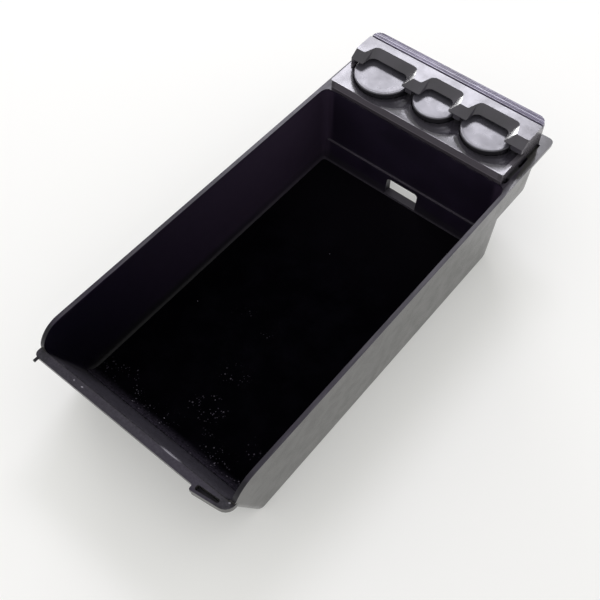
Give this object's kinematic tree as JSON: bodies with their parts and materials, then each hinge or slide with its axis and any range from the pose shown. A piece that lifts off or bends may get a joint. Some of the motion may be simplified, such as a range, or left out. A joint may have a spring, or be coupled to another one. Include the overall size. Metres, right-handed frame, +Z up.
{
  "type": "car console organizer tray",
  "caption": "Open storage bin for a car console with a matted floor, a latch lip at the front and a rear coin holder of sprung round plates under a notched roof.",
  "frame": {"origin": "on the table, under the middle of the overall length and width", "axes": "+X to the right seen from the front lip, +Y from the lip to the coin holder, +Z up"},
  "size_m": [0.096, 0.207, 0.0541],
  "materials": {
    "black_plastic": "black moulded plastic with a fine satin grain",
    "black_mat": "deep black thin mat, dull",
    "roof_plastic": "black moulded plastic with a satin sheen",
    "strip_rubber": "dark grey, finely ribbed along its length",
    "plate_plastic": "dark grey moulded plastic, lightly worn by coins",
    "spring_steel": "drawn spring wire",
    "zinc_screw": "zinc-plated steel"
  },
  "bodies": {
    "tray": {"tray_shell": "black_plastic", "floor_mat": "black_mat", "coin_housing": "black_plastic", "coin_roof": "roof_plastic", "grip_strip": "strip_rubber", "cup_cover": "black_plastic", "spring_large": "spring_steel", "spring_small": "spring_steel", "spring_medium": "spring_steel", "cover_screw_left": "zinc_screw", "cover_screw_right": "zinc_screw", "roof_screw_left": "zinc_screw", "roof_screw_right": "zinc_screw"},
    "large_plate": {"coin_plate_large": "plate_plastic"},
    "small_plate": {"coin_plate_small": "plate_plastic"},
    "medium_plate": {"coin_plate_medium": "plate_plastic"}
  },
  "joints": [
    {"name": "large_plate_press", "type": "slide", "parent": "tray", "child": "large_plate", "axis": [0, 0, 1], "range_m": [-0.011, 0], "stiffness_N_per_m": 40, "springref_m": 0.01, "deforming": ["spring_large"]},
    {"name": "small_plate_press", "type": "slide", "parent": "tray", "child": "small_plate", "axis": [0, 0, 1], "range_m": [-0.011, 0], "stiffness_N_per_m": 40, "springref_m": 0.01, "deforming": ["spring_small"]},
    {"name": "medium_plate_press", "type": "slide", "parent": "tray", "child": "medium_plate", "axis": [0, 0, 1], "range_m": [-0.011, 0], "stiffness_N_per_m": 40, "springref_m": 0.01, "deforming": ["spring_medium"]}
  ]
}
